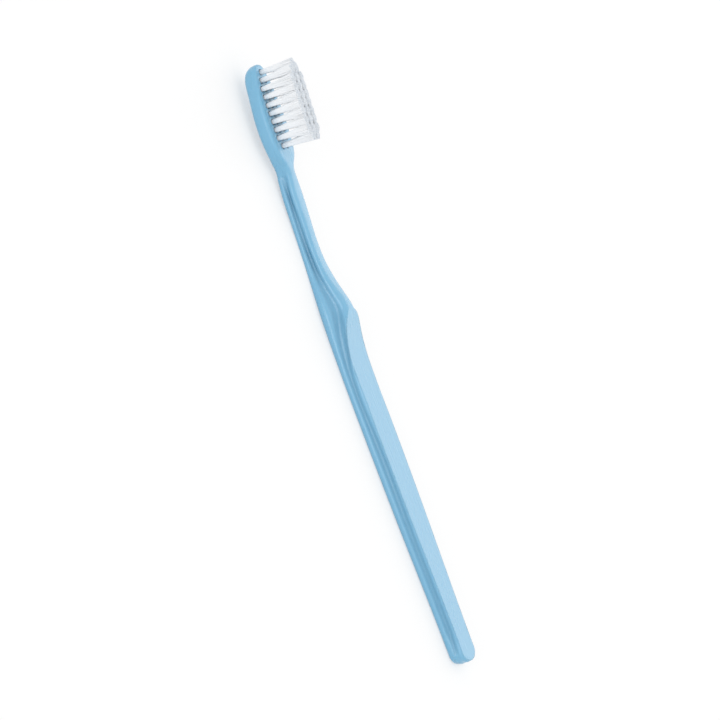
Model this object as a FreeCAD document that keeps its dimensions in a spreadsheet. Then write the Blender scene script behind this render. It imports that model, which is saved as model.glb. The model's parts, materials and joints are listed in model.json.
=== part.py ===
"""Manual toothbrush: a one-piece moulded handle, 26 bristle tufts and the anchor plates that hold them.

The brush lies on its flat back. X runs along the handle from the head (-X) to the tail (+X), Y runs
across it and Z is the way the bristles point. The origin is under the middle of the brush, on the
surface that it lies on. Lengths are in millimetres and stations are measured from the head's tip.
"""
import FreeCAD
import Part
import Sketcher
import math
import os
from dataclasses import dataclass

SIZES = (
    ("overall_length", 181.6, "head tip to tail end"),
    ("cut_overrun", 2.0, "how far a cut runs past the face that it opens"),
    ("back_stock", 0.1, "moulded depth that the flat back is cut from"),

    ("head_length", 27.3, "tip to the heel of the head"),
    ("head_width", 12.2, "widest place of the head"),
    ("head_thickness", 4.4, "back of the head to the tuft face"),
    ("head_tilt", 2.35, "angle that the head leans forward from the grip, degrees"),
    ("head_lift", 1.68, "back of the head's heel above the grip's back"),
    ("head_back_round", 1.7, "rounding of the head's back edge"),
    ("head_edge_round", 0.8, "rounding of the edge round the tuft face"),
    ("head_flute_radius", 60.0, "the head's sides are all but straight"),
    ("tip_radius", 3.5, "round end of the head in plan"),
    ("tip_back_round", 3.0, "rounding of the back at the tip"),

    ("heel_length", 3.7, "heel of the head to the neck's root"),
    ("root_lift", 1.2, "back of the neck's root above the grip's back"),
    ("neck_length", 29.0, "neck's root to the foot of the thumb stop"),
    ("neck_width", 5.5, "back lobe of the neck"),
    ("neck_front_width", 4.8, "front lobe of the neck"),
    ("neck_thickness", 4.55, "back to front of the neck"),
    ("neck_round", 1.05, "rounding of the neck's lobes"),
    ("neck_flute_radius", 0.7, "hollow along each side of the neck"),
    ("foot_width", 7.1, "back lobe of the neck at the foot of the thumb stop"),

    ("ramp_length", 15.0, "foot of the thumb stop to its crest"),
    ("crest_height", 8.3, "back to the crest of the thumb stop"),
    ("crest_width", 11.9, "back lobe under the crest"),
    ("crest_front_width", 6.2, "front lobe under the crest"),
    ("crest_back_round", 1.9, "rounding of the back edges under the crest"),
    ("crest_round", 2.0, "rounding of the thumb stop's nose"),
    ("crest_flute_radius", 2.2, "hollow beside the thumb stop"),
    ("thumb_length", 17.0, "crest to the level part of the front"),

    ("grip_width", 12.5, "back lobe at the widest place of the grip"),
    ("grip_front_width", 11.6, "front face at the widest place of the grip"),
    ("grip_thickness", 4.6, "back to the level front face"),
    ("grip_round", 1.35, "rounding of the grip's back edges"),
    ("grip_flute_radius", 0.8, "hollow along each side of the grip"),
    ("front_stock", 1.7, "moulded height that the front face is cut from"),
    ("tail_width", 9.2, "back lobe at the tail"),
    ("tail_front_width", 8.8, "front face at the tail"),
    ("tail_end_length", 3.4, "the tail's round end, along the brush"),

    ("row_pitch", 2.46, "tuft rows, along the head"),
    ("column_pitch", 2.5, "tuft columns, across the head"),
    ("first_row_inset", 2.5, "tip to the first row"),
    ("hole_diameter", 1.7, "blind hole for a tuft"),
    ("hole_depth", 3.0, "tuft face to the bottom of a hole"),
    ("tuft_clearance", 0.03, "between a tuft's root and its hole, all round"),
    ("tuft_height", 10.9, "tuft face to the trimmed ends, last row"),
    ("trim_rise", 0.3, "how much taller the first row is than the last"),
    ("tuft_tip_diameter", 2.36, "spread of a tuft at its ends"),
    ("tuft_tip_round", 0.25, "rounding of the trimmed ends"),

    ("anchor_thickness", 0.25, "flat wire"),
    ("anchor_height", 1.5, "cut length of the wire, down the hole"),
    ("anchor_bite", 0.15, "how far each end cuts into the hole's wall"),
    ("anchor_floor", 0.45, "room for the folded filaments under the plate"),
)

# The round tip has a section at each of these angles of its circle in plan, in degrees.
TIP_ANGLES = (10, 28, 50, 75)
TIP_ROUND_SHARE = 0.8

# Name, station and half width of the head's sections, as shares of its length and half width.
HEAD_PLAN_SHARES = (
    ("shoulder", 0.26, 0.79),
    ("widest", 0.58, 1.0),
    ("waist", 0.82, 0.95),
    ("heel", 1.0, 0.75),
)

# Name and station of the neck's sections, as a share of the neck's length, and how much of the
# root's lift and of the foot's width each has.
NECK_SHARES = (
    ("root", 0.0, 1.0, 0.0),
    ("upper", 0.17, 0.62, 0.0),
    ("middle", 0.50, 0.22, 0.15),
    ("foot", 1.0, 0.0, 1.0),
)
ROOT_FLUTE_SHARE = 6.0

# Where the sections of the thumb stop stand between its named stations, and how far each has changed.
RAMP_SHARE = 0.48
RAMP_RISE_SHARE = 0.38
RAMP_WIDTH_SHARE = 0.5
NOSE_SHARE = 0.3
NOSE_WIDTH_SHARE = 0.64

# Name and station of the grip's sections, as a share of the way from the level front to the tail,
# and how much of the taper is done there.
GRIP_TAPER_SHARES = (
    ("widest", 0.22, 0.0),
    ("taper", 0.56, 0.30),
    ("wrist", 0.83, 0.85),
    ("tail", 1.0, 1.0),
)

# Tufts across each row, from the tip to the neck, and their names from the -Y side.
ROW_TUFTS = (1, 2, 3, 3, 3, 3, 3, 3, 3, 2)
COLUMN_NAMES = {1: ("middle",), 2: ("near", "far"), 3: ("near", "middle", "far")}

UP = FreeCAD.Vector(0, 0, 1)
SIDEWAYS = FreeCAD.Vector(0, 1, 0)
ALONG = FreeCAD.Vector(1, 0, 0)

document = FreeCAD.newDocument("manual_toothbrush")
sheet = document.addObject("Spreadsheet::Sheet", "Sizes")
for row_number, (alias, value, note) in enumerate(SIZES, start=1):
    sheet.set(f"A{row_number}", note)
    sheet.set(f"B{row_number}", str(value))
    sheet.setAlias(f"B{row_number}", alias)
document.recompute()


def value_of(expression):
    """The number that an expression on the sheet gives."""
    return float(sheet.evalExpression(expression))


def part_way(start, end, share):
    """Expression for a value that lies a share of the way from start to end."""
    return f"({start} + ({end} - {start}) * {share})"


def bind(thing, **expressions):
    """Bind properties of an object to the sheet. A double underscore in a name stands for a dot."""
    for name, expression in expressions.items():
        thing.setExpression(name.replace("__", "."), expression)


HEEL = "Sizes.head_length"
ROOT = f"({HEEL} + Sizes.heel_length)"
FOOT = f"({ROOT} + Sizes.neck_length)"
CREST = f"({FOOT} + Sizes.ramp_length)"
LEVEL = f"({CREST} + Sizes.thumb_length)"
TAIL = "(Sizes.overall_length - Sizes.tail_end_length)"
TIP_X = "-Sizes.overall_length / 2"


@dataclass(frozen=True)
class Section:
    """A cross-section of the handle: a back lobe and a front lobe with a flute between them.

    Every field but the name is an expression on the sheet. Heights are above the grip's back.
    """

    name: str
    station: str
    back: str
    front: str
    back_half: str
    front_half: str
    back_round: str
    front_round: str
    flute: str


def head_back(station):
    """Height of the head's back at a station."""
    return f"(Sizes.head_lift + ({HEEL} - {station}) * tan(Sizes.head_tilt))"


def edge_fall(rounding, station):
    """How far a rounded edge falls away at a station close to the tip."""
    reach = f"max(0; 1 - {station} / {rounding})"
    return f"{rounding} * (1 - sqrt(1 - {reach} * {reach}))"


def head_sections():
    """Sections from the tip to the heel of the head."""
    sections = []
    for angle in TIP_ANGLES:
        along_share = 1 - math.cos(math.radians(angle))
        across_share = math.sin(math.radians(angle))
        station = f"(Sizes.tip_radius * {along_share})"
        half = f"Sizes.tip_radius * {across_share}"
        sections.append(Section(
            name=f"tip_{angle}",
            station=station,
            back=f"{head_back(station)} + {edge_fall('Sizes.tip_back_round', station)}",
            front=f"{head_back(station)} + Sizes.head_thickness"
                  f" - {edge_fall('Sizes.head_edge_round', station)}",
            back_half=half,
            front_half=half,
            back_round=f"min(Sizes.head_back_round; {half} * {TIP_ROUND_SHARE})",
            front_round=f"min(Sizes.head_edge_round; {half} * {TIP_ROUND_SHARE})",
            flute="Sizes.head_flute_radius",
        ))
    for name, along_share, across_share in HEAD_PLAN_SHARES:
        station = f"({HEEL} * {along_share})"
        half = f"Sizes.head_width / 2 * {across_share}"
        sections.append(Section(
            name=f"head_{name}",
            station=station,
            back=head_back(station),
            front=f"{head_back(station)} + Sizes.head_thickness",
            back_half=half,
            front_half=half,
            back_round="Sizes.head_back_round",
            front_round="Sizes.head_edge_round",
            flute="Sizes.head_flute_radius",
        ))
    return sections


def neck_sections():
    """Sections of the neck, from its root to the foot of the thumb stop."""
    sections = []
    for name, along_share, lift_share, width_share in NECK_SHARES:
        back = part_way("-Sizes.back_stock", "Sizes.root_lift", lift_share)
        flute_share = ROOT_FLUTE_SHARE if name == "root" else 1
        sections.append(Section(
            name=f"neck_{name}",
            station=part_way(ROOT, FOOT, along_share),
            back=back,
            front=f"Sizes.root_lift * {lift_share} + Sizes.neck_thickness",
            back_half=part_way("Sizes.neck_width / 2", "Sizes.foot_width / 2", width_share),
            front_half="Sizes.neck_front_width / 2",
            back_round="Sizes.neck_round",
            front_round="Sizes.neck_round",
            flute=f"Sizes.neck_flute_radius * {flute_share}",
        ))
    return sections


def thumb_sections():
    """Sections of the thumb stop, before its front is cut to the thumb rest."""
    ramp = Section(
        name="ramp",
        station=part_way(FOOT, CREST, RAMP_SHARE),
        back="-Sizes.back_stock",
        front=part_way("Sizes.neck_thickness", "Sizes.crest_height", RAMP_RISE_SHARE),
        back_half=part_way("Sizes.foot_width / 2", "Sizes.crest_width / 2", RAMP_WIDTH_SHARE),
        front_half=part_way("Sizes.neck_front_width / 2", "Sizes.crest_front_width / 2", RAMP_WIDTH_SHARE),
        back_round=part_way("Sizes.neck_round", "Sizes.crest_back_round", RAMP_WIDTH_SHARE),
        front_round=part_way("Sizes.neck_round", "Sizes.crest_round", RAMP_WIDTH_SHARE),
        flute=part_way("Sizes.neck_flute_radius", "Sizes.crest_flute_radius", RAMP_WIDTH_SHARE),
    )
    crest = Section(
        name="crest",
        station=CREST,
        back="-Sizes.back_stock",
        front="Sizes.crest_height",
        back_half="Sizes.crest_width / 2",
        front_half="Sizes.crest_front_width / 2",
        back_round="Sizes.crest_back_round",
        front_round="Sizes.crest_round",
        flute="Sizes.crest_flute_radius",
    )
    nose = Section(
        name="nose",
        station=part_way(CREST, LEVEL, NOSE_SHARE),
        back="-Sizes.back_stock",
        front=f"Sizes.crest_height + Sizes.front_stock * {NOSE_SHARE}",
        back_half=part_way("Sizes.crest_width / 2", "Sizes.grip_width / 2", NOSE_WIDTH_SHARE),
        front_half=part_way("Sizes.crest_front_width / 2", "Sizes.grip_front_width / 2", NOSE_WIDTH_SHARE),
        back_round=part_way("Sizes.crest_back_round", "Sizes.grip_round", NOSE_SHARE),
        front_round="Sizes.crest_round",
        flute=part_way("Sizes.crest_flute_radius", "Sizes.grip_flute_radius", NOSE_SHARE),
    )
    return [ramp, crest, nose, grip_section("level", 0, 0)]


def grip_section(name, along_share, taper_share):
    """Section of the grip, before its front is cut level."""
    return Section(
        name=f"grip_{name}",
        station=part_way(LEVEL, TAIL, along_share),
        back="-Sizes.back_stock",
        front="Sizes.grip_thickness + Sizes.front_stock",
        back_half=part_way("Sizes.grip_width / 2", "Sizes.tail_width / 2", taper_share),
        front_half=part_way("Sizes.grip_front_width / 2", "Sizes.tail_front_width / 2", taper_share),
        back_round="Sizes.grip_round",
        front_round="Sizes.front_stock",
        flute="Sizes.grip_flute_radius",
    )


def across(point):
    """The point's mirror image on the other side of the brush."""
    return FreeCAD.Vector(-point.x, point.y)


def arc(centre, radius, start, end):
    """An arc in the sketch plane, anticlockwise from start to end."""
    return Part.ArcOfCircle(Part.Circle(centre, UP, radius), start, end)


def bearing(centre, point):
    """Angle from a centre to a point, from minus to plus half a turn."""
    return math.atan2(point.y - centre.y, point.x - centre.x)


def section_sketch(section):
    """Sketch of a section across the brush at its station: two lines and six arcs, all tangent."""
    sketch = document.addObject("Sketcher::SketchObject", section.name)
    sketch.Placement.Rotation = FreeCAD.Rotation(SIDEWAYS, UP, ALONG, "XYZ")
    bind(sketch, Placement__Base__x=f"{TIP_X} + {section.station}")

    back, front = value_of(section.back), value_of(section.front)
    back_round, front_round = value_of(section.back_round), value_of(section.front_round)
    flute = value_of(section.flute)
    back_centre = FreeCAD.Vector(value_of(section.back_half) - back_round, back + back_round)
    front_centre = FreeCAD.Vector(value_of(section.front_half) - front_round, front - front_round)

    # The flute's circle touches both lobes from outside.
    upward = front_centre - back_centre
    span = upward.Length
    upward.normalize()
    outward = FreeCAD.Vector(upward.y, -upward.x)
    rise = ((back_round + flute) ** 2 - (front_round + flute) ** 2 + span ** 2) / (2 * span)
    reach = math.sqrt((back_round + flute) ** 2 - rise ** 2)
    flute_centre = back_centre + upward * rise + outward * reach

    quarter, half = math.pi / 2, math.pi
    back_end = bearing(back_centre, flute_centre)
    front_end = bearing(front_centre, flute_centre)
    sketch.addGeometry([
        Part.LineSegment(FreeCAD.Vector(-back_centre.x, back), FreeCAD.Vector(back_centre.x, back)),
        arc(back_centre, back_round, -quarter, back_end),
        arc(flute_centre, flute, front_end + half, back_end + half),
        arc(front_centre, front_round, front_end, quarter),
        Part.LineSegment(FreeCAD.Vector(front_centre.x, front), FreeCAD.Vector(-front_centre.x, front)),
        arc(across(front_centre), front_round, quarter, half - front_end),
        arc(across(flute_centre), flute, -back_end, -front_end),
        arc(across(back_centre), back_round, half - back_end, half + quarter),
    ], False)

    rule = Sketcher.Constraint
    sketch.addConstraint([
        rule("Tangent", 0, 2, 1, 1),
        rule("Tangent", 1, 2, 2, 2),
        rule("Tangent", 2, 1, 3, 1),
        rule("Tangent", 3, 2, 4, 1),
        rule("Tangent", 4, 2, 5, 1),
        rule("Tangent", 5, 2, 6, 2),
        rule("Tangent", 6, 1, 7, 1),
        rule("Tangent", 7, 2, 0, 1),
        rule("Horizontal", 0),
        rule("Horizontal", 4),
        rule("Equal", 1, 7),
        rule("Equal", 3, 5),
        rule("Equal", 2, 6),
    ])
    back_reach = f"{section.back_half} - {section.back_round}"
    front_reach = f"{section.front_half} - {section.front_round}"
    drive(sketch, "back_round", rule("Radius", 1, back_round), section.back_round)
    drive(sketch, "front_round", rule("Radius", 3, front_round), section.front_round)
    drive(sketch, "flute", rule("Radius", 2, flute), section.flute)
    drive(sketch, "back_reach", rule("DistanceX", -1, 1, 1, 3, back_centre.x), back_reach)
    drive(sketch, "back_reach_across", rule("DistanceX", 7, 3, -1, 1, back_centre.x), back_reach)
    drive(sketch, "front_reach", rule("DistanceX", -1, 1, 3, 3, front_centre.x), front_reach)
    drive(sketch, "front_reach_across", rule("DistanceX", 5, 3, -1, 1, front_centre.x), front_reach)
    drive(sketch, "back_height", rule("DistanceY", -1, 1, 0, 2, back), section.back)
    drive(sketch, "front_height", rule("DistanceY", -1, 1, 4, 1, front), section.front)
    return sketch


def drive(sketch, name, rule, expression):
    """Add a named constraint and bind it to the sheet."""
    sketch.renameConstraint(sketch.addConstraint(rule), name)
    sketch.setExpression(f"Constraints.{name}", expression)


def edge_poles(edge):
    """Poles of the cubic curves along an edge: one for an arc, two for a line, split in the middle."""
    first, last = edge.FirstParameter, edge.LastParameter
    start, end = edge.valueAt(first), edge.valueAt(last)
    if isinstance(edge.Curve, Part.Line):
        step = (end - start) / 6
        middle = start + step * 3
        return [[start, start + step, middle - step, middle], [middle, middle + step, end - step, end]]
    reach = 4 / 3 * math.tan((last - first) / 4) * edge.Curve.Radius
    poles = [start, start + edge.tangentAt(first) * reach, end - edge.tangentAt(last) * reach, end]
    if edge.Orientation == "Reversed":
        poles.reverse()
    return [poles]


def section_poles(sketch):
    """Poles of a section's curves, in the order that its outline runs."""
    curves = []
    for edge in sketch.Shape.Wires[0].OrderedEdges:
        curves += edge_poles(edge)
    return curves


def cubic(poles):
    """Edge along a cubic curve."""
    curve = Part.BezierCurve()
    curve.setPoles(poles)
    return curve.toShape()


def skin(sketches):
    """Faces that run smoothly through the sections, one for each curve of their outline."""
    sections = [section_poles(sketch) for sketch in sketches]
    travel = [0]
    for before, after in zip(sections, sections[1:]):
        travel.append(travel[-1] + max((b[0] - a[0]).Length for a, b in zip(before, after)))
    faces = []
    for strip in zip(*sections):
        lines = []
        for points in zip(*strip):
            line = Part.BSplineCurve()
            line.interpolate(Points=points, Parameters=travel)
            lines.append(line)
        surface = Part.BSplineSurface()
        surface.buildFromPolesMultsKnots(
            [line.getPoles() for line in lines],
            (4, 4), lines[0].getMultiplicities(), (0, 1), lines[0].getKnots(),
            False, False, 3, 3)
        faces.append(surface.toShape())
    return faces


def round_end(sketch):
    """Faces of the tail's round end: one side of the last section, swung round the middle of the brush.

    The swing is an ellipse in plan, as long as the sheet says.
    """
    centre = FreeCAD.Vector(sketch.Placement.Base.x, 0, 0)
    squeeze = FreeCAD.Matrix()
    squeeze.move(-centre)
    squeeze.scale(value_of("Sizes.tail_end_length / (Sizes.tail_width / 2)"), 1, 1)
    squeeze.move(centre)
    one_side = [poles for poles in section_poles(sketch) if poles[0].y + poles[-1].y > 0]
    return [cubic(poles).revolve(centre, -UP, 180).transformGeometry(squeeze) for poles in one_side]


def moulding_shape(sketches):
    """The whole moulding as one solid: the skin, its small flat tip and the tail's round end."""
    tip = Part.Face(Part.Wire([cubic(poles) for poles in section_poles(sketches[0])]))
    sewn = Part.Compound(skin(sketches) + [tip] + round_end(sketches[-1]))
    sewn.sewShape()
    solid = Part.Solid(sewn.Shells[0])
    if solid.Volume < 0:
        solid.reverse()
    return solid


def front_cutter():
    """Solid that cuts the front: level along the grip, then up a round thumb rest to the crest."""
    sketch = document.addObject("Sketcher::SketchObject", "front_profile")
    sketch.Placement.Rotation = FreeCAD.Rotation(ALONG, UP, -SIDEWAYS, "XYZ")
    rise = "(Sizes.crest_height - Sizes.grip_thickness)"
    radius = f"((Sizes.thumb_length * Sizes.thumb_length + {rise} * {rise}) / (2 * {rise}))"
    start = f"{TIP_X} + {CREST} - Sizes.cut_overrun"
    level = f"{TIP_X} + {LEVEL}"
    end = "Sizes.overall_length / 2 + Sizes.cut_overrun"
    top = "Sizes.crest_height + Sizes.front_stock + Sizes.cut_overrun"
    sweep = math.asin(value_of(f"(Sizes.thumb_length + Sizes.cut_overrun) / {radius}"))
    centre = FreeCAD.Vector(value_of(level), value_of(f"Sizes.grip_thickness + {radius}"))
    low = -math.pi / 2
    rest = arc(centre, value_of(radius), low - sweep, low)
    corners = [
        rest.EndPoint,
        FreeCAD.Vector(value_of(end), value_of("Sizes.grip_thickness")),
        FreeCAD.Vector(value_of(end), value_of(top)),
        FreeCAD.Vector(value_of(start), value_of(top)),
        rest.StartPoint,
    ]
    sketch.addGeometry([rest] + [Part.LineSegment(a, b) for a, b in zip(corners, corners[1:])], False)
    rule = Sketcher.Constraint
    sketch.addConstraint([
        rule("Tangent", 0, 2, 1, 1),
        rule("Coincident", 1, 2, 2, 1),
        rule("Coincident", 2, 2, 3, 1),
        rule("Coincident", 3, 2, 4, 1),
        rule("Coincident", 4, 2, 0, 1),
        rule("Horizontal", 1),
        rule("Vertical", 2),
        rule("Horizontal", 3),
        rule("Vertical", 4),
    ])
    drive(sketch, "thumb_radius", rule("Radius", 0, rest.Radius), radius)
    drive(sketch, "level", rule("DistanceX", -1, 1, 1, 1, centre.x), level)
    drive(sketch, "height", rule("DistanceY", -1, 1, 1, 1, corners[0].y), "Sizes.grip_thickness")
    drive(sketch, "end", rule("DistanceX", -1, 1, 2, 1, corners[1].x), end)
    drive(sketch, "top", rule("DistanceY", -1, 1, 3, 1, corners[2].y), top)
    drive(sketch, "start", rule("DistanceX", -1, 1, 4, 1, corners[3].x), start)
    cutter = document.addObject("Part::Extrusion", "front_cutter")
    cutter.Base = sketch
    cutter.DirMode = "Custom"
    cutter.Dir = SIDEWAYS
    cutter.Solid = True
    cutter.Symmetric = True
    bind(cutter, LengthFwd="Sizes.grip_width + Sizes.cut_overrun")
    return cutter


def back_cutter():
    """Solid that cuts the back flat, so that the brush lies steady on it."""
    cutter = document.addObject("Part::Box", "back_cutter")
    depth = "(Sizes.back_stock + Sizes.cut_overrun)"
    width = "(Sizes.head_width + Sizes.grip_width)"
    bind(
        cutter,
        Length="Sizes.overall_length + 2 * Sizes.cut_overrun",
        Width=width,
        Height=depth,
        Placement__Base__x=f"{TIP_X} - Sizes.cut_overrun",
        Placement__Base__y=f"-{width} / 2",
        Placement__Base__z=f"-{depth}",
    )
    return cutter


def seat(thing, along, sideways, up):
    """Stand an object on the tuft face, tilted as the head is.

    The place is measured along the face from the tip, across the brush and up from the face.
    """
    thing.Placement.Rotation = FreeCAD.Rotation(SIDEWAYS, value_of("Sizes.head_tilt"))
    face = f"{head_back('0')} + Sizes.head_thickness"
    bind(
        thing,
        Placement__Rotation__Angle="Sizes.head_tilt",
        Placement__Base__x=f"{TIP_X} + ({along}) * cos(Sizes.head_tilt) + ({up}) * sin(Sizes.head_tilt)",
        Placement__Base__y=sideways,
        Placement__Base__z=f"{face} - ({along}) * sin(Sizes.head_tilt) + ({up}) * cos(Sizes.head_tilt)",
    )


def tuft_bundle(name, height):
    """A tuft's filaments as one turned solid: straight in its hole, then spreading to the trimmed ends."""
    body = document.addObject("PartDesign::Body", f"bundle_{name}")
    sketch = body.newObject("Sketcher::SketchObject", f"profile_{name}")
    plane = next(feature for feature in body.Origin.OriginFeatures if feature.Role == "XZ_Plane")
    sketch.AttachmentSupport = [(plane, "")]
    sketch.MapMode = "FlatFace"
    root = "Sizes.hole_diameter / 2 - Sizes.tuft_clearance"
    floor = "Sizes.hole_depth - Sizes.tuft_clearance"
    shoulder = f"{height} - Sizes.tuft_tip_round"
    spread = "Sizes.tuft_tip_diameter / 2"
    crown = f"{spread} - Sizes.tuft_tip_round"
    corners = [FreeCAD.Vector(value_of(x), value_of(y)) for x, y in (
        ("0", f"-({floor})"), (root, f"-({floor})"), (root, "0"),
        (spread, shoulder), (crown, height), ("0", height))]
    closed = zip(corners, corners[1:] + corners[:1])
    sketch.addGeometry([Part.LineSegment(a, b) for a, b in closed], False)
    rule = Sketcher.Constraint
    count = len(corners)
    sketch.addConstraint([rule("Coincident", i, 2, (i + 1) % count, 1) for i in range(count)])
    sketch.addConstraint([
        rule("Horizontal", 0),
        rule("Vertical", 1),
        rule("Horizontal", 4),
        rule("PointOnObject", 5, 1, -2),
        rule("PointOnObject", 5, 2, -2),
        rule("PointOnObject", 1, 2, -1),
    ])
    drive(sketch, "floor", rule("DistanceY", 0, 2, -1, 1, -corners[1].y), floor)
    drive(sketch, "root", rule("DistanceX", -1, 1, 0, 2, corners[1].x), root)
    drive(sketch, "spread", rule("DistanceX", -1, 1, 2, 2, corners[3].x), spread)
    drive(sketch, "shoulder", rule("DistanceY", -1, 1, 2, 2, corners[3].y), shoulder)
    drive(sketch, "crown", rule("DistanceX", -1, 1, 3, 2, corners[4].x), crown)
    drive(sketch, "height", rule("DistanceY", -1, 1, 3, 2, corners[4].y), height)
    turn = body.newObject("PartDesign::Revolution", f"turn_{name}")
    turn.Profile = sketch
    turn.ReferenceAxis = (sketch, ["V_Axis"])
    turn.Angle = 360
    return body


def tuft_set(row, tufts, column):
    """One tuft, its anchor plate and the tool that drills its hole.

    Returns:
        The tuft, the plate and the drill.
    """
    name = f"row{row + 1:02d}_{COLUMN_NAMES[tufts][column]}"
    along = f"Sizes.first_row_inset + Sizes.row_pitch * {row}"
    sideways = f"Sizes.column_pitch * {column - (tufts - 1) / 2}"
    last = len(ROW_TUFTS) - 1
    height = f"(Sizes.tuft_height + Sizes.trim_rise * {(last - row) / last})"

    bundle = tuft_bundle(name, height)
    seat(bundle, along, sideways, "0")

    plate = document.addObject("Part::Box", f"anchor_{name}")
    plate.Label = f"anchor_{name}"
    length = "(Sizes.hole_diameter + 2 * Sizes.anchor_bite)"
    bind(plate, Length="Sizes.anchor_thickness", Width=length, Height="Sizes.anchor_height")
    seat(plate, f"{along} - Sizes.anchor_thickness / 2", f"{sideways} - {length} / 2",
         "Sizes.anchor_floor - Sizes.hole_depth")

    drill = document.addObject("Part::Cylinder", f"drill_{name}")
    bind(drill, Radius="Sizes.hole_diameter / 2", Height="Sizes.hole_depth + Sizes.cut_overrun")
    seat(drill, along, sideways, "-Sizes.hole_depth")

    tuft = document.addObject("Part::Cut", f"tuft_{name}")
    tuft.Label = f"tuft_{name}"
    tuft.Base = bundle
    tuft.Tool = plate
    return tuft, plate, drill


handle_sections = head_sections() + neck_sections() + thumb_sections()
handle_sections += [grip_section(*shares) for shares in GRIP_TAPER_SHARES]
section_sketches = [section_sketch(section) for section in handle_sections]
document.recompute()
moulding = document.addObject("Part::Feature", "moulding")
moulding.Shape = moulding_shape(section_sketches)

cutters = document.addObject("Part::MultiFuse", "cutters")
cutters.Shapes = [front_cutter(), back_cutter()]
blank = document.addObject("Part::Cut", "handle_blank")
blank.Base = moulding
blank.Tool = cutters

sets = [tuft_set(row, tufts, column) for row, tufts in enumerate(ROW_TUFTS) for column in range(tufts)]
sockets = document.addObject("Part::MultiFuse", "tuft_sockets")
sockets.Shapes = [tool for _, plate, drill in sets for tool in (plate, drill)]
handle = document.addObject("Part::Cut", "handle")
handle.Label = "handle"
handle.Base = blank
handle.Tool = sockets
document.recompute()

for thing in document.Objects:
    if "Invalid" in thing.State or "Error" in thing.State:
        raise RuntimeError(f"{thing.Label} failed: {thing.getStatusString()}")

pieces = [handle] + [piece for tuft, plate, _ in sets for piece in (tuft, plate)]
for piece in pieces:
    if piece.Shape.isNull() or not piece.Shape.isValid():
        raise RuntimeError(f"{piece.Label} has no valid shape")

os.makedirs("parts", exist_ok=True)
for piece in pieces:
    piece.Shape.exportStep(f"parts/{piece.Label}.step")
print(f"{len(pieces)} pieces, handle {handle.Shape.Volume:.0f} mm3")
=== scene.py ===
"""Dresses the manual toothbrush: moulded handle, nylon filament tufts, brass anchors and a white studio."""

import json
import logging
import math
from dataclasses import dataclass, field
from enum import Enum
from typing import Any

import bmesh
import bpy
from mathutils import Matrix, Vector

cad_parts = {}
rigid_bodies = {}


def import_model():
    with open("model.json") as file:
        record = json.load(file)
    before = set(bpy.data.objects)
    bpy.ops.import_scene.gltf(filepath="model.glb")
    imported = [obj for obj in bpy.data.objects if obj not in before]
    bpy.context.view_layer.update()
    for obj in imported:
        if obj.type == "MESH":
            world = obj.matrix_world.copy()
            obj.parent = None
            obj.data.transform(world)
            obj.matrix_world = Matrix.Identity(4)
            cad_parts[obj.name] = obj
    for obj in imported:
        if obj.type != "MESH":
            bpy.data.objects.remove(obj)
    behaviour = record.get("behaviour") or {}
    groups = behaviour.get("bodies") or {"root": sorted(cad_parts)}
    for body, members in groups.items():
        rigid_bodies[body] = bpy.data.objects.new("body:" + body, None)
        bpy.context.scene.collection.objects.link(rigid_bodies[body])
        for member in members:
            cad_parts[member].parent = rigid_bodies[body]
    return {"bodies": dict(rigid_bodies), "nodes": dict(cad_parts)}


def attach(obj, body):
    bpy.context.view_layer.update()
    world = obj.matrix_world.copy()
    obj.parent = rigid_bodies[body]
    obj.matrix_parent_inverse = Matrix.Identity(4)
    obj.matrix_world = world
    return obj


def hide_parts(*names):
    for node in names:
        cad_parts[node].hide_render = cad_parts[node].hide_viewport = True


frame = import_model()

LOG = logging.getLogger("toothbrush")
MM = 0.001
BODY = "root"
HALF = 0.5
GOLDEN_ANGLE = math.pi * (3.0 - math.sqrt(5.0))

Colour = tuple[float, float, float, float]
WHITE: Colour = (1.0, 1.0, 1.0, 1.0)

# Numbers of the sockets that Blender gives the same name
MIX_FIRST, MIX_SECOND, MIXED = 6, 7, 2
RANDOM_VECTOR, RANDOM_NUMBER = 0, 1


class LampRole(Enum):
    """What a studio lamp does for the brush."""

    KEY = "softbox_above"
    FILL = "fill_beside_camera"
    RIM = "strip_behind"


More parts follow.
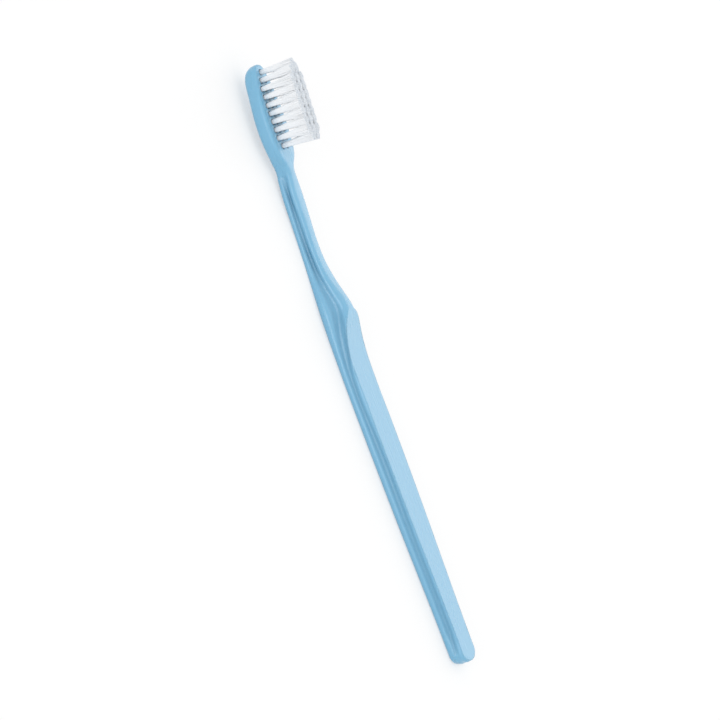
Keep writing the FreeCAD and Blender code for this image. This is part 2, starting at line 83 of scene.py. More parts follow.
class Nodes:
    """Adds nodes to a tree and links them, so that a finish reads as a short list of steps."""

    def __init__(self, tree: bpy.types.NodeTree) -> None:
        """Start on a tree.

        Args:
            tree: The shader or geometry tree to add to.
        """
        self.tree = tree

    def add(self, kind: str, inputs: dict[Any, Any] | None = None, **settings: Any) -> bpy.types.Node:
        """Add one node.

        Args:
            kind: Blender's name for the node type.
            inputs: Values or other nodes' output sockets, by input name or number.
            **settings: Properties of the node itself.

        Returns:
            The new node.
        """
        node = self.tree.nodes.new(kind)
        for name, value in settings.items():
            setattr(node, name, value)
        self.feed(node, inputs or {})
        return node

    def feed(self, node: bpy.types.Node, inputs: dict[Any, Any]) -> None:
        """Link outputs to a node's inputs, or set the inputs' own values.

        Args:
            node: The node to feed.
            inputs: Output sockets or plain values, by input name or number.
        """
        for key, value in inputs.items():
            if isinstance(value, bpy.types.NodeSocket):
                self.tree.links.new(value, node.inputs[key])
            else:
                node.inputs[key].default_value = value

    def math(self, operation: str, first: Any, second: Any) -> bpy.types.NodeSocket:
        """Work out one sum.

        Args:
            operation: Blender's name for the sum.
            first: A value or an output socket.
            second: A value or an output socket.

        Returns:
            The result's socket.
        """
        return self.add("ShaderNodeMath", {0: first, 1: second}, operation=operation).outputs[0]

    def function(self, operation: str, value: Any) -> bpy.types.NodeSocket:
        """Work out a function of one value, such as a sine.

        Args:
            operation: Blender's name for the function.
            value: A value or an output socket.

        Returns:
            The result's socket.
        """
        return self.add("ShaderNodeMath", {0: value}, operation=operation).outputs[0]

    def vector(self, operation: str, first: Any, second: Any) -> bpy.types.NodeSocket:
        """Work out one sum of two vectors.

        Args:
            operation: Blender's name for the sum.
            first: A vector or an output socket.
            second: A vector or an output socket.

        Returns:
            The result's socket.
        """
        return self.add("ShaderNodeVectorMath", {0: first, 1: second}, operation=operation).outputs[0]

    def scaled(self, vector: Any, scale: Any) -> bpy.types.NodeSocket:
        """Make a vector longer or shorter.

        Args:
            vector: A vector or an output socket.
            scale: A value or an output socket.

        Returns:
            The scaled vector's socket.
        """
        return self.add("ShaderNodeVectorMath", {0: vector, "Scale": scale}, operation="SCALE").outputs[0]

    def joined(self, x: Any = 0.0, y: Any = 0.0, z: Any = 0.0) -> bpy.types.NodeSocket:
        """Join three values into a vector.

        Args:
            x: A value or an output socket.
            y: A value or an output socket.
            z: A value or an output socket.

        Returns:
            The vector's socket.
        """
        return self.add("ShaderNodeCombineXYZ", {"X": x, "Y": y, "Z": z}).outputs[0]

    def here(self) -> Any:
        """Read the place of the point at hand.

        Returns:
            The sockets X, Y and Z.
        """
        place = self.add("GeometryNodeInputPosition").outputs[0]
        return self.add("ShaderNodeSeparateXYZ", {0: place}).outputs

    def stored(self, geometry: bpy.types.NodeSocket, name: str, value: Any,
               kind: str) -> bpy.types.NodeSocket:
        """Store a value on each point under a name.

        Args:
            geometry: The points' or mesh's socket.
            name: The attribute's name.
            value: The value's socket.
            kind: Blender's name for the type of the value.

        Returns:
            The geometry's socket.
        """
        return self.add(
            "GeometryNodeStoreNamedAttribute", {"Geometry": geometry, "Name": name, "Value": value},
            data_type=kind, domain="POINT").outputs["Geometry"]

    def blend(self, share: Any, first: Any, second: Any) -> bpy.types.NodeSocket:
        """Mix two colours.

        Args:
            share: Share of the second colour.
            first: A colour or an output socket.
            second: A colour or an output socket.

        Returns:
            The mixed colour's socket.
        """
        mix = self.add(
            "ShaderNodeMix", {"Factor": share, MIX_FIRST: first, MIX_SECOND: second}, data_type="RGBA")
        return mix.outputs[MIXED]

    def noise(self, scale: float, detail: float, stretch: tuple[float, float, float]) -> bpy.types.Node:
        """Lay noise over the piece's own coordinates.

        Args:
            scale: Waves in a metre.
            detail: How many finer layers it has.
            stretch: Scale along X, Y and Z, under 1 where the noise is drawn out.

        Returns:
            The noise node.
        """
        place = self.add("ShaderNodeTexCoord").outputs["Object"]
        drawn = self.add("ShaderNodeMapping", {"Vector": place, "Scale": stretch}).outputs["Vector"]
        return self.add("ShaderNodeTexNoise", {"Vector": drawn, "Scale": scale, "Detail": detail})


def emptied(owner: bpy.types.ID) -> Nodes:
    """Give a material or a world an empty node tree.

    Args:
        owner: The material or the world.

    Returns:
        The tree's helper.
    """
    owner.use_nodes = True
    owner.node_tree.nodes.clear()
    return Nodes(owner.node_tree)


def shader(name: str) -> tuple[Nodes, bpy.types.Material, bpy.types.Node]:
    """Make a material with an empty tree, a Principled shader and its output.

    Args:
        name: The material's name.

    Returns:
        The tree's helper, the material and the Principled node.
    """
    material = bpy.data.materials.new(name)
    nodes = emptied(material)
    surface = nodes.add("ShaderNodeBsdfPrincipled")
    nodes.add("ShaderNodeOutputMaterial", {"Surface": surface.outputs["BSDF"]})
    return nodes, material, surface


def placed(name: str, data: bpy.types.ID) -> bpy.types.Object:
    """Put a new object into the scene, at the origin.

    Args:
        name: The object's name.
        data: Its mesh, camera or light.

    Returns:
        The object.
    """
    thing = bpy.data.objects.new(name, data)
    bpy.context.scene.collection.objects.link(thing)
    return thing


@dataclass(frozen=True)
class MouldedPlastic:
    """Pale blue injection-moulded plastic: satin, faintly streaked by the flow of the melt, with painted
    shade laid into its flutes and holes.

    Attributes:
        name: The material's name.
        body: Colour of the plastic.
        streak: Colour of the paler streaks along the flow.
        hollow_painted_shade: Painted shade: the darker colour laid at the bottom of the flutes and holes,
            where shade falls.
        painted_shade_reach: How far a wall still counts towards the painted shade.
        painted_shade_range: Share of open sky where the painted shade is fullest, and where the colour is
            plain again.
        sheen, sheen_roughness: The soft lift at grazing angles.
        coat, coat_roughness: The smooth skin that the mould leaves.
        roughness: Smoothest and roughest streak.
        refraction: Refractive index.
        scatter, scatter_radius, scatter_scale: Light that goes in and comes out close by.
        edge_round: Radius that edges look rounded to.
        probe_rays: Rays that feel for edges and hollows.
        flow_scale, flow_detail, flow_roughness, flow_range, flow_stretch: The streaks' noise.
        grain_scale, grain_detail, grain_stretch, grain_strength, grain_depth: The mould's fine grain.
    """

    name: str = "pale_blue_moulding"
    body: Colour = (0.188, 0.465, 0.680, 1.0)
    streak: Colour = (0.206, 0.488, 0.700, 1.0)
    hollow_painted_shade: Colour = (0.015, 0.165, 0.310, 1.0)
    painted_shade_reach: float = 3.0 * MM
    painted_shade_range: tuple[float, float] = (0.68, 0.985)
    sheen: float = 0.30
    sheen_roughness: float = 0.3
    coat: float = 0.40
    coat_roughness: float = 0.16
    roughness: tuple[float, float] = (0.24, 0.32)
    refraction: float = 1.5
    scatter: float = 0.12
    scatter_radius: tuple[float, float, float] = (0.6, 1.0, 1.3)
    scatter_scale: float = 1.0 * MM
    edge_round: float = 0.9 * MM
    probe_rays: int = 8
    flow_scale: float = 260.0
    flow_detail: float = 4.0
    flow_roughness: float = 0.55
    flow_range: tuple[float, float] = (0.3, 0.7)
    flow_stretch: tuple[float, float, float] = (0.06, 1.0, 1.0)
    grain_scale: float = 5200.0
    grain_detail: float = 2.0
    grain_stretch: tuple[float, float, float] = (1.0, 1.0, 1.0)
    grain_strength: float = 0.25
    grain_depth: float = 0.012 * MM

    def material(self) -> bpy.types.Material:
        """Build the finish's material.

        Returns:
            The material.
        """
        nodes, material, surface = shader(self.name)
        streaks = nodes.noise(self.flow_scale, self.flow_detail, self.flow_stretch)
        nodes.feed(streaks, {"Roughness": self.flow_roughness})
        flow = streaks.outputs["Fac"]
        melt = nodes.blend(flow, self.body, self.streak)
        gloss = nodes.add("ShaderNodeMapRange", {
            "Value": flow, "From Min": self.flow_range[0], "From Max": self.flow_range[1],
            "To Min": self.roughness[0], "To Max": self.roughness[1]})
        grain = nodes.noise(self.grain_scale, self.grain_detail, self.grain_stretch)
        eased = nodes.add("ShaderNodeBevel", {"Radius": self.edge_round}, samples=self.probe_rays)
        bump = nodes.add("ShaderNodeBump", {
            "Height": grain.outputs["Fac"], "Strength": self.grain_strength, "Distance": self.grain_depth,
            "Normal": eased.outputs["Normal"]})
        nodes.feed(surface, {
            # Painted shade: the base colour darkens towards the hollow colour in flutes and holes, where the
            # occlusion rays find walls close by.
            "Base Color": nodes.blend(self.painted_shade_mask(nodes), self.hollow_painted_shade, melt),
            "Roughness": gloss.outputs["Result"],
            "Normal": bump.outputs["Normal"],
            "Sheen Weight": self.sheen,
            "Sheen Roughness": self.sheen_roughness,
            "Coat Weight": self.coat,
            "Coat Roughness": self.coat_roughness,
            "IOR": self.refraction,
            "Subsurface Weight": self.scatter,
            "Subsurface Radius": self.scatter_radius,
            "Subsurface Scale": self.scatter_scale,
        })
        return material

    def painted_shade_mask(self, nodes: Nodes) -> bpy.types.NodeSocket:
        """Mask the painted shade: tell the flutes and holes, where shade falls, from the open surface.

        Args:
            nodes: The tree's helper.

        Returns:
            A socket that is 0 where the painted shade is full and 1 in the open.
        """
        sky = nodes.add(
            "ShaderNodeAmbientOcclusion", {"Distance": self.painted_shade_reach},
            samples=self.probe_rays, only_local=True).outputs["AO"]
        unshaded_share = nodes.add("ShaderNodeMapRange", {
            "Value": sky, "From Min": self.painted_shade_range[0], "From Max": self.painted_shade_range[1]})
        return unshaded_share.outputs["Result"]


@dataclass(frozen=True)
class NylonFilament:
    """White nylon: each filament a little different, with painted shade greying the rounded ends, standing
    in for the light that they let in.

    Attributes:
        name: The material's name.
        shade, light: Colours of the darkest and the lightest filament.
        tip: Painted shade colour of the rounded ends, for the light that they let in.
        tip_shade_from_share: Share of the length where the ends' painted shade starts.
        strand_scale, strand_detail, strand_stretch: Noise that is drawn out along the filaments.
        roughness: Roughness all over.
        refraction: Refractive index.
    """

    name: str = "white_nylon_filament"
    shade: Colour = (0.935, 0.957, 0.985, 1.0)
    light: Colour = (0.975, 0.985, 1.000, 1.0)
    tip: Colour = (0.640, 0.710, 0.780, 1.0)
    tip_shade_from_share: float = 0.965
    strand_scale: float = 2600.0
    strand_detail: float = 2.0
    strand_stretch: tuple[float, float, float] = (1.0, 1.0, 0.04)
    roughness: float = 0.42
    refraction: float = 1.53

    def material(self) -> bpy.types.Material:
        """Build the finish's material.

        Returns:
            The material.
        """
        nodes, material, surface = shader(self.name)
        strand = nodes.noise(self.strand_scale, self.strand_detail, self.strand_stretch).outputs["Fac"]
        own = nodes.add("ShaderNodeAttribute", attribute_name="own_tone").outputs["Fac"]
        rise = nodes.add("ShaderNodeAttribute", attribute_name="rise").outputs["Fac"]
        lightness = nodes.math("MULTIPLY", nodes.math("ADD", strand, own), HALF)
        tone = nodes.blend(lightness, self.shade, self.light)
        # Painted shade: the last part of each filament turns greyer, by strand, for the light that goes into
        # the translucent ends.
        tip_shade_mask = nodes.add("ShaderNodeMapRange", {
            "Value": rise, "From Min": self.tip_shade_from_share, "From Max": 1.0}).outputs["Result"]
        nodes.feed(surface, {
            "Base Color": nodes.blend(nodes.math("MULTIPLY", tip_shade_mask, own), tone, self.tip),
            "Roughness": self.roughness,
            "IOR": self.refraction,
        })
        return material


@dataclass(frozen=True)
class BrassWire:
    """Bright drawn brass wire, with fine lines along its length.

    Attributes:
        name: The material's name.
        bright, dull: Colours between the lines and on them.
        line_scale, line_detail, line_stretch: Noise that is drawn out into lines.
        roughness: Smoothest and roughest line.
    """

    name: str = "drawn_brass_wire"
    bright: Colour = (0.780, 0.590, 0.290, 1.0)
    dull: Colour = (0.640, 0.460, 0.210, 1.0)
    line_scale: float = 9000.0
    line_detail: float = 3.0
    line_stretch: tuple[float, float, float] = (1.0, 0.05, 1.0)
    roughness: tuple[float, float] = (0.24, 0.40)

    def material(self) -> bpy.types.Material:
        """Build the finish's material.

        Returns:
            The material.
        """
        nodes, material, surface = shader(self.name)
        line = nodes.noise(self.line_scale, self.line_detail, self.line_stretch).outputs["Fac"]
        gloss = nodes.add("ShaderNodeMapRange", {
            "Value": line, "To Min": self.roughness[0], "To Max": self.roughness[1]})
        nodes.feed(surface, {
            "Base Color": nodes.blend(line, self.bright, self.dull),
            "Roughness": gloss.outputs["Result"],
            "Metallic": 1.0,
        })
        return material


@dataclass
class Handle:
    """The one-piece moulding: head, neck, thumb stop, grip and tail, with its hard edges eased.

    The shoulders of the grip are drawn in below the front face, the crest of the thumb stop is rounded
    over, the flutes run out before the tail's end and the root of the neck is smoothed.

    Attributes:
        node: The CAD node.
        finish: The plastic.
        front_level: Height of the level front face.
        rest_start: Where the thumb rest starts to rise from the front face.
        rest_curve: Rise of the rest, divided by the square of the distance from that place.
        crest: Where the crest of the thumb stop is.
        fade: Length beyond the crest over which the shoulders come in.
        shoulder: Depth of the shoulders below the front face.
        draw_in: How far the shoulders come in at the front face.
        crest_blend: Height over which the crest's two slopes are blended.
        crest_drop_share: Share of that height that the crest loses.
        crest_slope: Difference between the two slopes.
        tail_start, tail_length: Where the flutes start to run out, and over what length.
        tail_fill: Depth of flute that is filled in at the tail.
        flute_level, flute_half: Height of the flute's middle, and half its width.
        neck_root, root_band: Where the neck's root is, and how far from it the mesh is smoothed.
        root_passes, root_ease: Number and strength of the smoothing passes.
        weld: Distance at which corners of the mesh are one.
        sharp: Angle from which an edge stays sharp.
        least_sideways: Least sideways part of the normal of a corner on a side.
    """

    node: str = "handle"
    finish: MouldedPlastic = MouldedPlastic()
    front_level: float = 4.6 * MM
    rest_start: float = 1.2 * MM
    rest_curve: float = 12.8
    crest: float = -15.8 * MM
    fade: float = 7.0 * MM
    shoulder: float = 1.6 * MM
    draw_in: float = 0.42 * MM
    crest_blend: float = 2.6 * MM
    crest_drop_share: float = 0.25
    crest_slope: float = 0.73
    tail_start: float = 80.0 * MM
    tail_length: float = 8.0 * MM
    tail_fill: float = 0.70 * MM
    flute_level: float = 3.0 * MM
    flute_half: float = 1.5 * MM
    neck_root: float = -59.8 * MM
    root_band: float = 1.8 * MM
    root_passes: int = 10
    root_ease: float = 0.5
    weld: float = 0.001 * MM
    sharp: float = math.radians(35.0)
    least_sideways: float = 0.05

    def build(self) -> bpy.types.Object:
        """Make the moulding from a copy of its CAD solid's mesh.

        Returns:
            The moulding's object.
        """
        shape = bmesh.new()
        shape.from_mesh(frame["nodes"][self.node].data)
        bmesh.ops.remove_doubles(shape, verts=shape.verts, dist=self.weld)
        shape.normal_update()
        self._ease(shape)
        shape.normal_update()
        for edge in shape.edges:
            edge.smooth = edge.calc_face_angle(0.0) < self.sharp
        for face in shape.faces:
            face.smooth = True
            face.material_index = 0
        mesh = bpy.data.meshes.new("moulding")
        shape.to_mesh(mesh)
        shape.free()
        mesh.materials.append(self.finish.material())
        moulding = placed("moulding", mesh)
        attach(moulding, BODY)
        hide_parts(self.node)
        return moulding

    def _ease(self, shape: bmesh.types.BMesh) -> None:
        """Move the corners of the mesh, none of them past the tail's end, and smooth the neck's root.

        Args:
            shape: The merged mesh, which is changed.
        """
        tail_end = max(corner.co.x for corner in shape.verts)
        for corner, shift in [(corner, self._shift(corner)) for corner in shape.verts]:
            corner.co += shift
            corner.co.x = min(corner.co.x, tail_end)
        band = [corner for corner in shape.verts if abs(corner.co.x - self.neck_root) < self.root_band]
        for _ in range(self.root_passes):
            bmesh.ops.smooth_vert(
                shape, verts=band, factor=self.root_ease,
                use_axis_x=True, use_axis_y=True, use_axis_z=True)

    def _shift(self, corner: bmesh.types.BMVert) -> Vector:
        """Work out how far a corner moves: shoulders in, crest down, flutes out at the tail.

        Args:
            corner: A corner of the CAD solid's mesh.

        Returns:
            Its shift, which is zero over the head, the neck and the back.
        """
        place, out = corner.co, Vector((corner.normal.x, corner.normal.y, 0.0))
        moved = Vector()
        if out.length > self.least_sideways:
            out.normalize()
            before = max(self.rest_start - place.x, 0.0)
            front = self.front_level + self.rest_curve * before * before
            share = max(1.0 - max(front - place.z, 0.0) / self.shoulder, 0.0)
            reach = min(max((place.x - self.crest) / self.fade, 0.0), 1.0)
            moved.y -= out.y * self.draw_in * share * reach
            run_out = min(max((place.x - self.tail_start) / self.tail_length, 0.0), 1.0)
            level = (place.z - self.flute_level) / self.flute_half
            moved += out * (self.tail_fill * run_out * run_out * max(1.0 - level * level, 0.0))
        aside = abs(place.x - self.crest) * self.crest_slope / self.crest_blend
        high = max(place.z - self.front_level, 0.0) / self.front_level
        moved.z -= self.crest_blend * self.crest_drop_share * max(1.0 - aside, 0.0) ** 2 * min(high, 1.0)
        return moved


@dataclass
class Anchors:
    """The brass plates across the tuft holes, out of sight in the head."""

    prefix: str = "anchor_"
    finish: BrassWire = BrassWire()

    def dress(self) -> list[bpy.types.Object]:
        """Give every plate its finish.

        Returns:
            The plates' objects.
        """
        brass = self.finish.material()
        plates = [plate for name, plate in frame["nodes"].items() if name.startswith(self.prefix)]
        for plate in plates:
            plate.data.materials.clear()
            plate.data.materials.append(brass)
        return plates


@dataclass(frozen=True)
class TuftSeat:
    """Where a tuft stands: its hole's bottom, its axis and its length, read from its CAD solid."""

    place: Matrix
    length: float

    @classmethod
    def of(cls, node: str, lean: float) -> "TuftSeat":
        """Measure a tuft's CAD solid.

        Args:
            node: The tuft's node.
            lean: Angle of the tuft from upright towards the tail, in radians.

        Returns:
            The tuft's seat.
        """
        turn = Matrix.Rotation(lean, 4, "Y")
        level = [turn.inverted() @ vertex.co for vertex in frame["nodes"][node].data.vertices]
        low = Vector(min(point[axis] for point in level) for axis in range(3))
        high = Vector(max(point[axis] for point in level) for axis in range(3))
        foot = Vector(((low.x + high.x) / 2, (low.y + high.y) / 2, low.z))
        return cls(turn @ Matrix.Translation(foot), high.z - low.z)


@dataclass
class Tufts:
    """The bristle field: a bundle of round-ended filaments in place of each tuft's plain solid.

    Attributes:
        prefix: How the names of the tufts' CAD nodes start.
        lean: Angle of the tufts from upright, which is the head's.
        hole_depth: Depth of the holes.
        root_radius, tip_radius: Radius of a tuft in its hole and at its trimmed end.
        filament_radius, filaments: Radius and number of a tuft's filaments.
        sides, rings: Sides of a filament, and rings along it.
        ring_power: How much closer the rings are at the end.
        fan: How much more a tuft spreads along the head than across it.
        end_leans: How far the tips of the end rows lean along the head, by row.
        dome: Share of the length by which the outer filaments are shorter.
        stray, stray_least, stray_most: How far a tip strays, and the box of its directions.
        end_share, end_power: How far a filament narrows at its end, and how late.
        finish: The nylon.
        inputs: Identifiers of the tree's inputs, by name.
    """

    prefix: str = "tuft_"
    lean: float = math.radians(2.35)
    hole_depth: float = 2.97 * MM
    root_radius: float = 0.56 * MM
    filament_radius: float = 0.110 * MM
    filaments: int = 150
    sides: int = 6
    rings: int = 6
    ring_power: float = 3.0
    tip_radius: float = 1.22 * MM
    fan: float = 1.75
    end_leans: dict[str, float] = field(default_factory=lambda: {
        "row01": 0.75 * MM, "row02": -0.30 * MM, "row09": 0.25 * MM, "row10": -0.20 * MM})
    dome: float = 0.022
    stray: float = 0.09 * MM
    stray_least: tuple[float, float, float] = (-1.0, -1.0, -1.0)
    stray_most: tuple[float, float, float] = (1.0, 1.0, 0.0)
    end_share: float = 0.5
    end_power: float = 64.0
    finish: NylonFilament = NylonFilament()
    inputs: dict[str, str] = field(default_factory=dict)

    def tree(self) -> bpy.types.NodeTree:
        """Build the Geometry Nodes tree that grows one tuft, root down, on the Z axis.

        Returns:
            The tree. The identifiers of its inputs are kept in self.inputs.
        """
        tree = bpy.data.node_groups.new("filament_tuft", "GeometryNodeTree")
        tree.interface.new_socket("Tuft", in_out="OUTPUT", socket_type="NodeSocketGeometry")
        for name, kind in (
            ("Filaments", "NodeSocketInt"), ("Length", "NodeSocketFloat"), ("Depth", "NodeSocketFloat"),
            ("Root Radius", "NodeSocketFloat"), ("Tip Radius", "NodeSocketFloat"),
            ("Filament Radius", "NodeSocketFloat"), ("Fan", "NodeSocketFloat"), ("Lean", "NodeSocketFloat"),
            ("Dome", "NodeSocketFloat"), ("Stray", "NodeSocketFloat"), ("Seed", "NodeSocketInt"),
            ("Material", "NodeSocketMaterial"),
        ):
            socket = tree.interface.new_socket(name, in_out="INPUT", socket_type=kind)
            self.inputs[name] = socket.identifier
        nodes = Nodes(tree)
        given = nodes.add("NodeGroupInput").outputs
        bundle = nodes.add("GeometryNodeInstanceOnPoints", {
            "Points": self._rooted(nodes, given), "Instance": self._strand(nodes, given)})
        loose = nodes.add("GeometryNodeRealizeInstances", {"Geometry": bundle.outputs["Instances"]})
        spread = self._spread(nodes, given, loose.outputs["Geometry"])
        smooth = nodes.add("GeometryNodeSetShadeSmooth", {"Geometry": spread})
        whole = nodes.add("GeometryNodeRealizeInstances", {"Geometry": smooth.outputs["Geometry"]})
        dressed = nodes.add("GeometryNodeSetMaterial", {
            "Geometry": whole.outputs["Geometry"], "Material": given["Material"]})
        nodes.add("NodeGroupOutput", {"Tuft": dressed.outputs["Geometry"]})
        return tree

    def _rooted(self, nodes: Nodes, given: Any) -> bpy.types.NodeSocket:
        """Set the filaments' roots out in a close spiral, and store how each one leans and its tone.

        Args:
            nodes: The tree's helper.
            given: The tree's inputs.

        Returns:
            The points' socket.
        """
        index = nodes.add("GeometryNodeInputIndex").outputs[0]
        share = nodes.math("DIVIDE", nodes.math("ADD", index, HALF), given["Filaments"])
        reach = nodes.function("SQRT", share)
        turn = nodes.math("ADD", nodes.math("MULTIPLY", index, GOLDEN_ANGLE), given["Seed"])
        ray = nodes.joined(
            nodes.math("MULTIPLY", nodes.function("COSINE", turn), reach),
            nodes.math("MULTIPLY", nodes.function("SINE", turn), reach))
        inner = nodes.math("SUBTRACT", given["Root Radius"], given["Filament Radius"])
        outer = nodes.math("SUBTRACT", given["Tip Radius"], given["Filament Radius"])
        points = nodes.add("GeometryNodePoints", {
            "Count": given["Filaments"], "Position": nodes.scaled(ray, inner)})
        fanned = nodes.vector("MULTIPLY", ray, nodes.joined(given["Fan"], 1.0))
        lean = nodes.scaled(fanned, nodes.math("SUBTRACT", outer, inner))
        stray = nodes.add("FunctionNodeRandomValue", {
            0: self.stray_least, 1: self.stray_most, "Seed": given["Seed"]}, data_type="FLOAT_VECTOR")
        sway = nodes.scaled(stray.outputs[RANDOM_VECTOR], given["Stray"])
        drop = nodes.math("MULTIPLY", nodes.math("MULTIPLY", share, given["Dome"]), given["Length"])
        lowered = nodes.joined(x=given["Lean"], z=nodes.math("MULTIPLY", drop, -1.0))
        trimmed = nodes.vector("ADD", nodes.vector("ADD", lean, sway), lowered)
        leaning = nodes.stored(points.outputs[0], "tip_shift", trimmed, "FLOAT_VECTOR")
        own = nodes.add("FunctionNodeRandomValue", {"Seed": given["Seed"]}, data_type="FLOAT")
        return nodes.stored(leaning, "own_tone", own.outputs[RANDOM_NUMBER], "FLOAT")

    def _strand(self, nodes: Nodes, given: Any) -> bpy.types.NodeSocket:
        """Make one straight filament with a rounded end, its rings closest together there.

        Args:
            nodes: The tree's helper.
            given: The tree's inputs.

        Returns:
            The filament's socket.
        """
        tube = nodes.add("GeometryNodeMeshCylinder", {
            "Vertices": self.sides, "Side Segments": self.rings, "Radius": given["Filament Radius"],
            "Depth": given["Length"]})
        place = nodes.here()
        along = nodes.math("ADD", nodes.math("DIVIDE", place["Z"], given["Length"]), HALF)
        left = nodes.math("SUBTRACT", 1.0, along)
        height = nodes.math("SUBTRACT", 1.0, nodes.math("POWER", left, self.ring_power))
        narrow = nodes.math("SUBTRACT", 1.0, nodes.math(
            "MULTIPLY", nodes.math("POWER", along, self.end_power), 1.0 - self.end_share))
        moved = nodes.joined(
            nodes.math("MULTIPLY", place["X"], narrow), nodes.math("MULTIPLY", place["Y"], narrow),
            nodes.math("MULTIPLY", height, given["Length"]))
        shaped = nodes.add("GeometryNodeSetPosition", {"Geometry": tube.outputs["Mesh"], "Position": moved})
        rise = nodes.math("DIVIDE", nodes.here()["Z"], given["Length"])
        return nodes.stored(shaped.outputs[0], "rise", rise, "FLOAT")

    def _spread(self, nodes: Nodes, given: Any, bundle: bpy.types.NodeSocket) -> bpy.types.NodeSocket:
        """Spread the filaments from the mouth of the hole to their trimmed ends.

        Args:
            nodes: The tree's helper.
            given: The tree's inputs.
            bundle: The realized filaments.

        Returns:
            The spread bundle's socket.
        """
        free = nodes.math("SUBTRACT", given["Length"], given["Depth"])
        out = nodes.math("DIVIDE", nodes.math("SUBTRACT", nodes.here()["Z"], given["Depth"]), free)
        shift = nodes.add("GeometryNodeInputNamedAttribute", {"Name": "tip_shift"}, data_type="FLOAT_VECTOR")
        offset = nodes.scaled(shift.outputs["Attribute"], nodes.math("MAXIMUM", out, 0.0))
        return nodes.add("GeometryNodeSetPosition", {"Geometry": bundle, "Offset": offset}).outputs[0]

    def build(self) -> list[bpy.types.Object]:
        """Grow every tuft where its CAD solid stands.

        Returns:
            The filament bundles.
        """
        tree = self.tree()
        nylon = self.finish.material()
        bundles = []
        for seed, node in enumerate(sorted(n for n in frame["nodes"] if n.startswith(self.prefix))):
            seat = TuftSeat.of(node, self.lean)
            bundle = self._grown(tree, node.replace(self.prefix, "filaments_"), seat, seed, nylon)
            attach(bundle, BODY)
            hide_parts(node)
            bundles.append(bundle)
        return bundles

    def _grown(self, tree: bpy.types.NodeTree, name: str, seat: TuftSeat, seed: int,
               nylon: bpy.types.Material) -> bpy.types.Object:
        """Grow one tuft and leave it as a plain mesh.

        Args:
            tree: The Geometry Nodes tree.
            name: The new object's name.
            seat: Where the tuft stands.
            seed: Seed of the tuft's own disorder.
            nylon: The filaments' material.

        Returns:
            The bundle's object, at the origin.
        """
        carrier = placed(name, bpy.data.meshes.new(name))
        grow = carrier.modifiers.new("filaments", "NODES")
        grow.node_group = tree
        row = name.split("_")[1]
        for key, value in (
            ("Filaments", self.filaments), ("Length", seat.length), ("Depth", self.hole_depth),
            ("Root Radius", self.root_radius), ("Tip Radius", self.tip_radius),
            ("Filament Radius", self.filament_radius), ("Fan", self.fan),
            ("Lean", self.end_leans.get(row, 0.0)), ("Dome", self.dome), ("Stray", self.stray),
            ("Seed", seed), ("Material", nylon),
        ):
            grow[self.inputs[key]] = value
        graph = bpy.context.evaluated_depsgraph_get()
        grown = bpy.data.meshes.new_from_object(carrier.evaluated_get(graph))
        carrier.modifiers.remove(grow)
        carrier.data = grown
        grown.name = name
        grown.transform(seat.place)
        return carrier


@dataclass(frozen=True)
class Lamp:
    """A square softbox that points at the middle of the brush: its place, side and power in watts."""

    place: tuple[float, float, float]
    size: float
    power: float


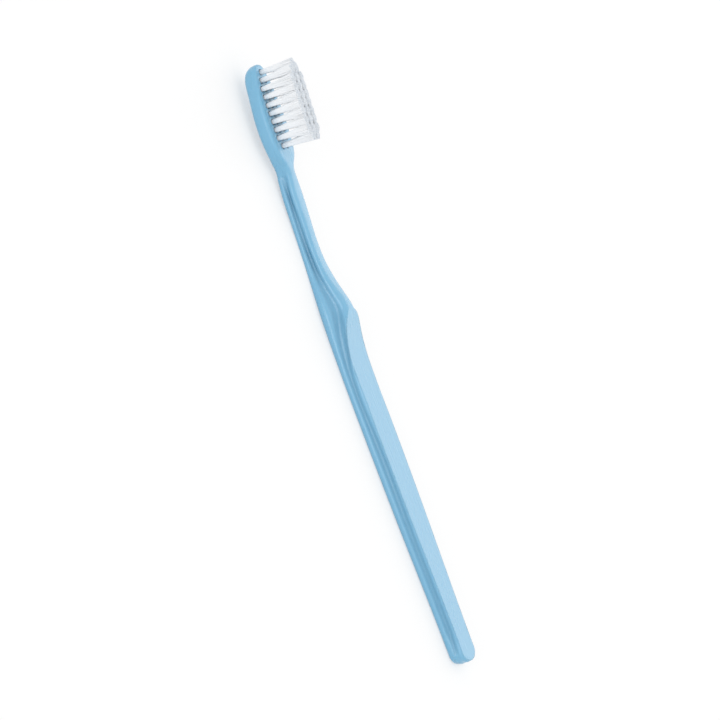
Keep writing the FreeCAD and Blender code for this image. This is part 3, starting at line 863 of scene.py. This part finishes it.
@dataclass
class Studio:
    """White floor, soft lamps and the camera at the photograph's angle.

    Attributes:
        elevation, roll: The camera's angle above the floor, and its turn about its own axis.
        aim: Middle of the picture, along the brush and across it.
        view_width: Width of the picture at the brush.
        distance: The camera's distance.
        sensor: Width of the camera's sensor, in millimetres.
        clip: Nearest and furthest that the camera sees.
        floor_half: Half the floor's side.
        paper_tone, paper_seen_drop: How pale the floor is, and how much less to rays that show it.
        paper_glow: Light that the floor adds for those rays.
        ambient: Strength of the surroundings' light.
        lamps: The lamps, by what they do.
    """

    elevation: float = math.radians(27.75)
    roll: float = math.radians(20.5)
    aim: tuple[float, float] = (-1.11 * MM, 4.07 * MM)
    view_width: float = 206.9 * MM
    distance: float = 1.0
    sensor: float = 36.0
    clip: tuple[float, float] = (0.01, 20.0)
    floor_half: float = 3.0
    paper_tone: float = 0.86
    paper_seen_drop: float = 0.38
    paper_glow: float = 0.53
    ambient: float = 0.80
    lamps: dict[LampRole, Lamp] = field(default_factory=lambda: {
        LampRole.KEY: Lamp((0.05, 0.15, 0.75), size=1.2, power=1.2),
        LampRole.FILL: Lamp((-0.10, -0.95, 0.22), size=0.5, power=1.9),
        LampRole.RIM: Lamp((0.0, 0.80, 0.42), size=0.6, power=0.9),
    })

    def clear(self) -> None:
        """Remove what Blender's start-up scene holds."""
        kept = set(frame["nodes"].values()) | set(frame["bodies"].values())
        for thing in list(bpy.data.objects):
            if thing not in kept:
                bpy.data.objects.remove(thing)

    def camera(self) -> bpy.types.Object:
        """Stand a long lens at the photograph's angle.

        Returns:
            The camera.
        """
        along = Vector((1.0, 0.0, 0.0))
        upward = Vector((0.0, math.sin(self.elevation), math.cos(self.elevation)))
        back = along.cross(upward)
        right = along * math.sin(self.roll) + upward * math.cos(self.roll)
        top = upward * math.sin(self.roll) - along * math.cos(self.roll)
        lens = bpy.data.cameras.new("long_lens")
        lens.sensor_width = self.sensor
        lens.lens = self.sensor * self.distance / self.view_width
        lens.clip_start, lens.clip_end = self.clip
        camera = placed("long_lens", lens)
        turn = Matrix((right, top, back)).transposed().to_4x4()
        place = along * self.aim[0] + upward * self.aim[1] + back * self.distance
        camera.matrix_world = Matrix.Translation(place) @ turn
        bpy.context.scene.camera = camera
        return camera

    def floor(self) -> bpy.types.Object:
        """Lay the white floor, which keeps the brush's shadow.

        Returns:
            The floor.
        """
        mesh = bpy.data.meshes.new("floor")
        shape = bmesh.new()
        bmesh.ops.create_grid(shape, x_segments=1, y_segments=1, size=self.floor_half)
        shape.to_mesh(mesh)
        shape.free()
        floor = placed("floor", mesh)
        mesh.materials.append(self.paper())
        return floor

    def seen(self, nodes: Nodes) -> bpy.types.NodeSocket:
        """Tell the rays that show the background from those that light the brush.

        Args:
            nodes: The tree's helper.

        Returns:
            A socket that is 1 for camera, glossy and transmission rays.
        """
        path = nodes.add("ShaderNodeLightPath").outputs
        mirrored = nodes.math("MAXIMUM", path["Is Glossy Ray"], path["Is Transmission Ray"])
        return nodes.math("MAXIMUM", path["Is Camera Ray"], mirrored)

    def paper(self) -> bpy.types.Material:
        """Make white paper that lifts to clean white where the camera sees it lit.

        Returns:
            The paper's material.
        """
        material = bpy.data.materials.new("white_paper")
        nodes = emptied(material)
        seen = self.seen(nodes)
        tone = nodes.math("SUBTRACT", self.paper_tone, nodes.math("MULTIPLY", seen, self.paper_seen_drop))
        grey = nodes.add("ShaderNodeCombineColor", {0: tone, 1: tone, 2: tone})
        paper = nodes.add("ShaderNodeBsdfDiffuse", {"Color": grey.outputs[0]})
        glow = nodes.add("ShaderNodeEmission", {
            "Color": WHITE, "Strength": nodes.math("MULTIPLY", seen, self.paper_glow)})
        both = nodes.add("ShaderNodeAddShader", {0: paper.outputs[0], 1: glow.outputs[0]})
        nodes.add("ShaderNodeOutputMaterial", {"Surface": both.outputs[0]})
        return material

    def light(self) -> None:
        """Set the surroundings' light and the lamps."""
        world = bpy.data.worlds.new("white_surroundings")
        nodes = emptied(world)
        lift = nodes.math("MULTIPLY", self.seen(nodes), 1.0 - self.ambient)
        sky = nodes.add("ShaderNodeBackground", {
            "Color": WHITE, "Strength": nodes.math("ADD", lift, self.ambient)})
        nodes.add("ShaderNodeOutputWorld", {"Surface": sky.outputs[0]})
        bpy.context.scene.world = world
        for role, lamp in self.lamps.items():
            softbox = bpy.data.lights.new(role.value, "AREA")
            softbox.size = lamp.size
            softbox.energy = lamp.power
            place = Vector(lamp.place)
            aim = place.to_track_quat("Z", "Y").to_matrix().to_4x4()
            placed(role.value, softbox).matrix_world = Matrix.Translation(place) @ aim


def main() -> None:
    """Build and dress the brush, light it and log its pieces and the tufts' face counts."""
    logging.basicConfig(level=logging.INFO, format="%(message)s")
    studio = Studio()
    studio.clear()
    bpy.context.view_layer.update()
    studio.camera()
    studio.floor()
    studio.light()
    bpy.context.scene.view_settings.view_transform = "Standard"
    LOG.info("handle: %s", Handle().build().name)
    for plate in Anchors().dress():
        LOG.info("anchor: %s", plate.name)
    for bundle in Tufts().build():
        LOG.info("tuft: %s, %d faces", bundle.name, len(bundle.data.polygons))


if __name__ == "__main__":
    main()
